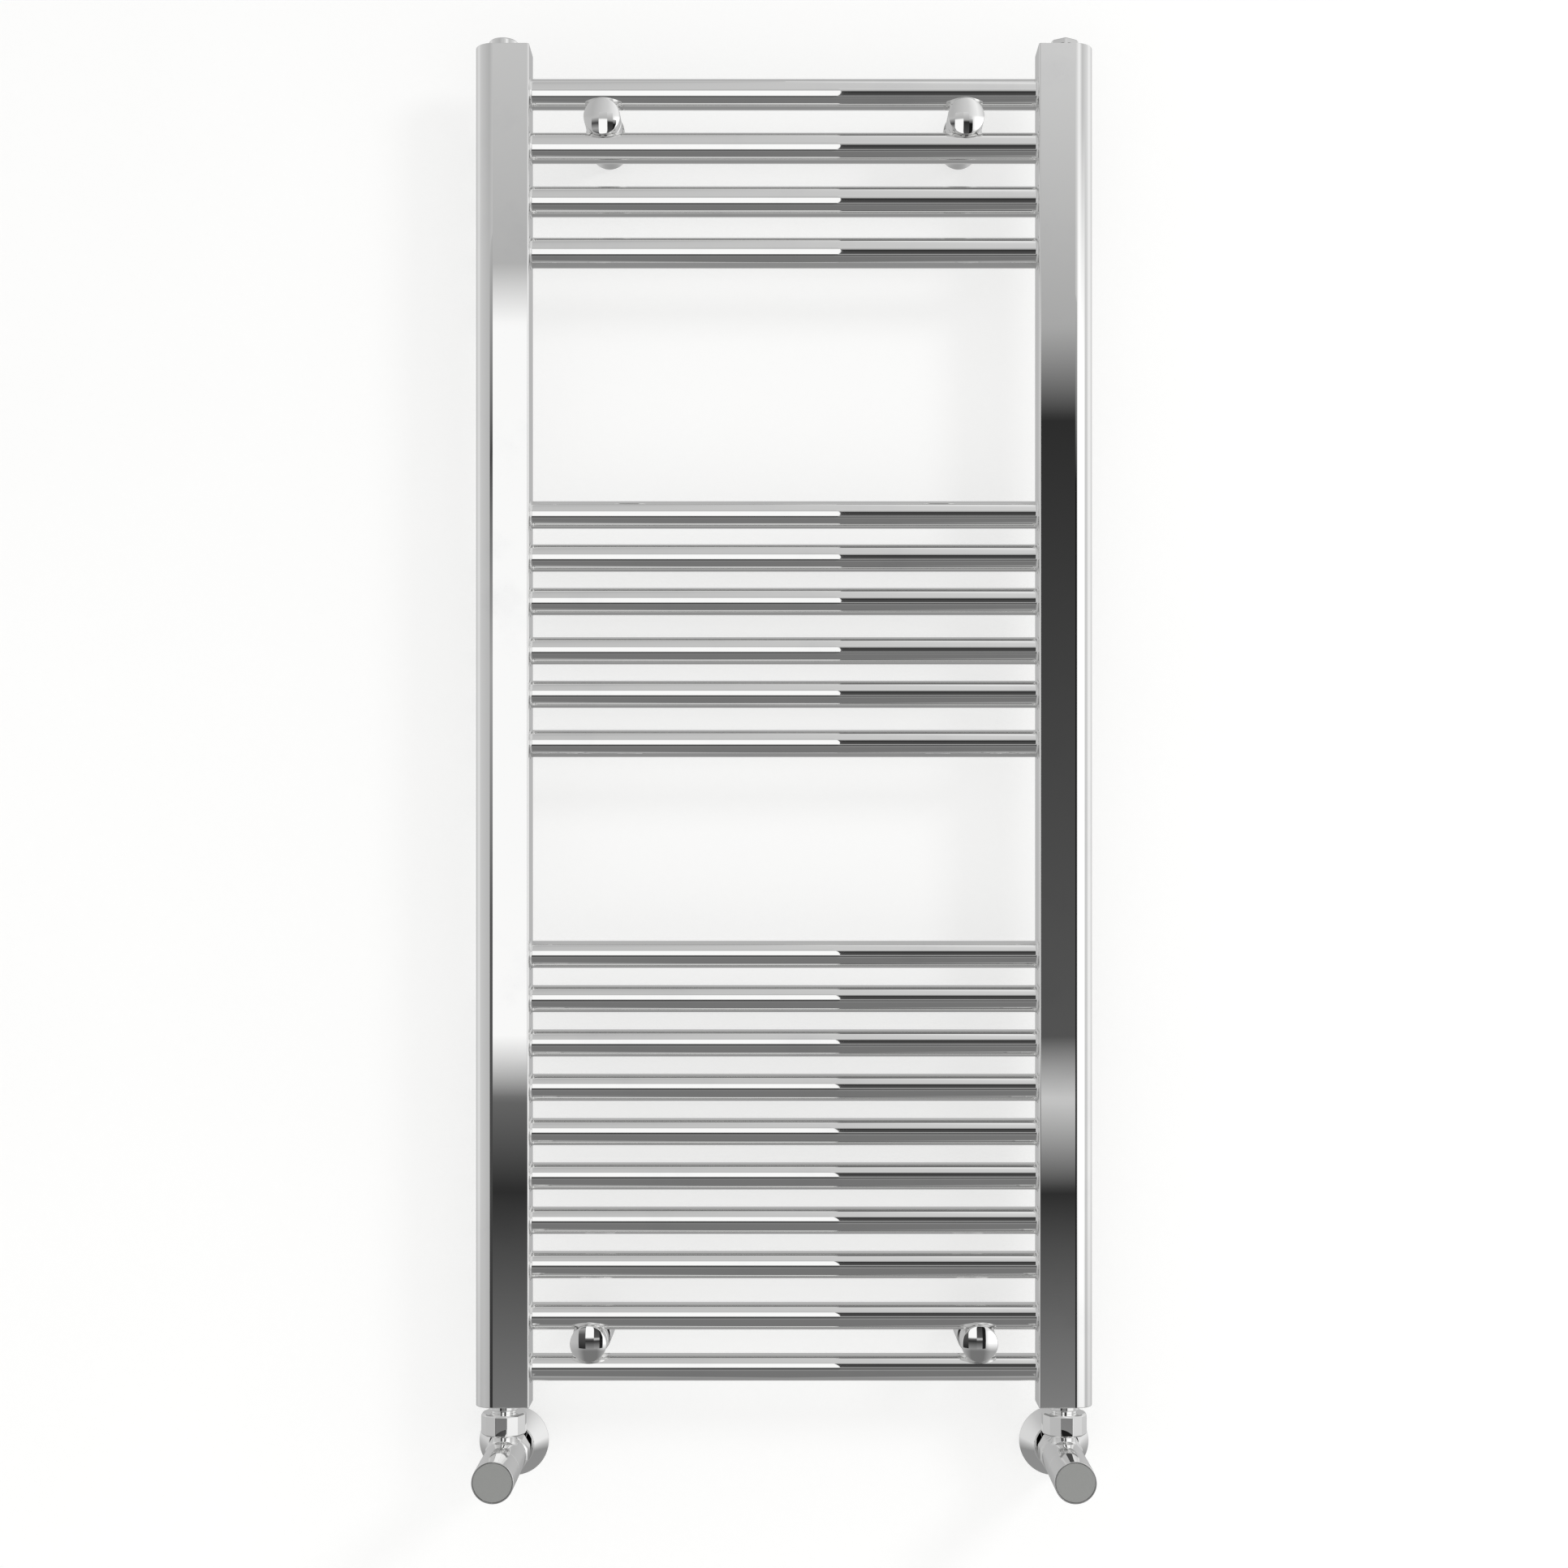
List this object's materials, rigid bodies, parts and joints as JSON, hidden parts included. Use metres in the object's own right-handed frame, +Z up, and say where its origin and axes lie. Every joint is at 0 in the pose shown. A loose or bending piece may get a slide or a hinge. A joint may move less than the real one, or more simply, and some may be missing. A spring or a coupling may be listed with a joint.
{
  "type": "towel radiator with valves",
  "caption": "Chromed ladder towel radiator with round rails between upright collectors, an angled valve under each and telescopic wall brackets.",
  "frame": {"origin": "on the wall plane, midway between the screw holes of the two upper wall cups", "axes": "+Y into the wall, so the front faces -Y; +Z up along the collectors; +X to the right for someone facing the radiator"},
  "size_m": [0.5134, 0.167, 1.1806],
  "materials": {
    "chromed_tube": "bright chrome plate on steel tube",
    "chromed_fitting": "bright chrome plate on turned brass",
    "grey_disc": "satin grey insert",
    "bare_brass": "machined brass",
    "seal_rubber": "moulded rubber",
    "screw_steel": "bright zinc plate"
  },
  "bodies": {
    "wall_brackets": {"bottom_left_wall_cup": "chromed_fitting", "bottom_right_wall_cup": "chromed_fitting", "top_left_wall_cup": "chromed_fitting", "top_right_wall_cup": "chromed_fitting", "bracket_grub_screws": "screw_steel"},
    "bleed_screw": {"bleed_screw": "bare_brass"},
    "left_head": {"left_wheelhead": "chromed_fitting", "left_head_disc": "grey_disc", "left_head_screw": "screw_steel", "left_spindle": "bare_brass"},
    "left_shutoff": {"left_jumper": "bare_brass", "left_jumper_washer": "seal_rubber"},
    "right_cap": {"right_lockshield_cap": "chromed_fitting", "right_head_disc": "grey_disc"},
    "right_spindle": {"right_spindle": "bare_brass"},
    "right_shutoff": {"right_jumper": "bare_brass", "right_jumper_washer": "seal_rubber"},
    "left_rosette": {"left_rosette": "chromed_fitting"},
    "right_rosette": {"right_rosette": "chromed_fitting"},
    "radiator": {"air_vent_plug": "chromed_fitting", "blanking_plug": "chromed_fitting", "bottom_left_bracket_cap": "chromed_fitting", "bottom_right_bracket_cap": "chromed_fitting", "bracket_clamp_bolts": "screw_steel", "bracket_stems": "chromed_fitting", "collector_end_sockets": "chromed_tube", "left_collector": "chromed_tube", "left_pipe": "chromed_fitting", "left_valve_body": "chromed_fitting", "o_rings": "seal_rubber", "pipe_nuts": "chromed_fitting", "pipe_olives": "bare_brass", "rail_01": "chromed_tube", "rail_02": "chromed_tube", "rail_03": "chromed_tube", "rail_04": "chromed_tube", "rail_05": "chromed_tube", "rail_06": "chromed_tube", "rail_07": "chromed_tube", "rail_08": "chromed_tube", "rail_09": "chromed_tube", "rail_10": "chromed_tube", "rail_11": "chromed_tube", "rail_12": "chromed_tube", "rail_13": "chromed_tube", "rail_14": "chromed_tube", "rail_15": "chromed_tube", "rail_16": "chromed_tube", "rail_17": "chromed_tube", "rail_18": "chromed_tube", "rail_19": "chromed_tube", "rail_20": "chromed_tube", "right_collector": "chromed_tube", "right_pipe": "chromed_fitting", "right_valve_body": "chromed_fitting", "top_left_bracket_cap": "chromed_fitting", "top_right_bracket_cap": "chromed_fitting", "union_nuts": "chromed_fitting", "valve_glands": "bare_brass", "valve_tails": "chromed_fitting"}
  },
  "joints": [
    {"name": "stand_off", "type": "slide", "parent": "wall_brackets", "child": "radiator", "axis": [0, -1, 0], "range_m": [-0.005, 0.01]},
    {"name": "left_head_turn", "type": "hinge", "parent": "radiator", "child": "left_head", "pos_m": [-0.2275, -0.1, -1.08735], "axis": [0, -1, 0], "range_deg": [0, 1080]},
    {"name": "left_shutoff_lift", "type": "slide", "parent": "radiator", "child": "left_shutoff", "axis": [0, -1, 0], "range_m": [0, 0.0046]},
    {"name": "right_cap_pull", "type": "slide", "parent": "radiator", "child": "right_cap", "axis": [0, -1, 0], "range_m": [0, 0.03]},
    {"name": "right_spindle_turn", "type": "hinge", "parent": "radiator", "child": "right_spindle", "pos_m": [0.2275, -0.1, -1.08735], "axis": [0, -1, 0], "range_deg": [0, 1080]},
    {"name": "right_shutoff_lift", "type": "slide", "parent": "radiator", "child": "right_shutoff", "axis": [0, -1, 0], "range_m": [0, 0.0046]},
    {"name": "bleed_turn", "type": "hinge", "parent": "radiator", "child": "bleed_screw", "pos_m": [-0.2275, -0.068, 0.05815], "axis": [0, 0, 1], "range_deg": [0, 270]},
    {"name": "left_rosette_slide", "type": "slide", "parent": "wall_brackets", "child": "left_rosette", "axis": [0, -1, 0], "range_m": [0, 0.006]},
    {"name": "right_rosette_slide", "type": "slide", "parent": "wall_brackets", "child": "right_rosette", "axis": [0, -1, 0], "range_m": [0, 0.006]}
  ],
  "couplings": [
    {"joint": "left_shutoff_lift", "follows": "left_head_turn", "m_per_rad": 0.00023873},
    {"joint": "right_shutoff_lift", "follows": "right_spindle_turn", "m_per_rad": 0.00023873}
  ]
}
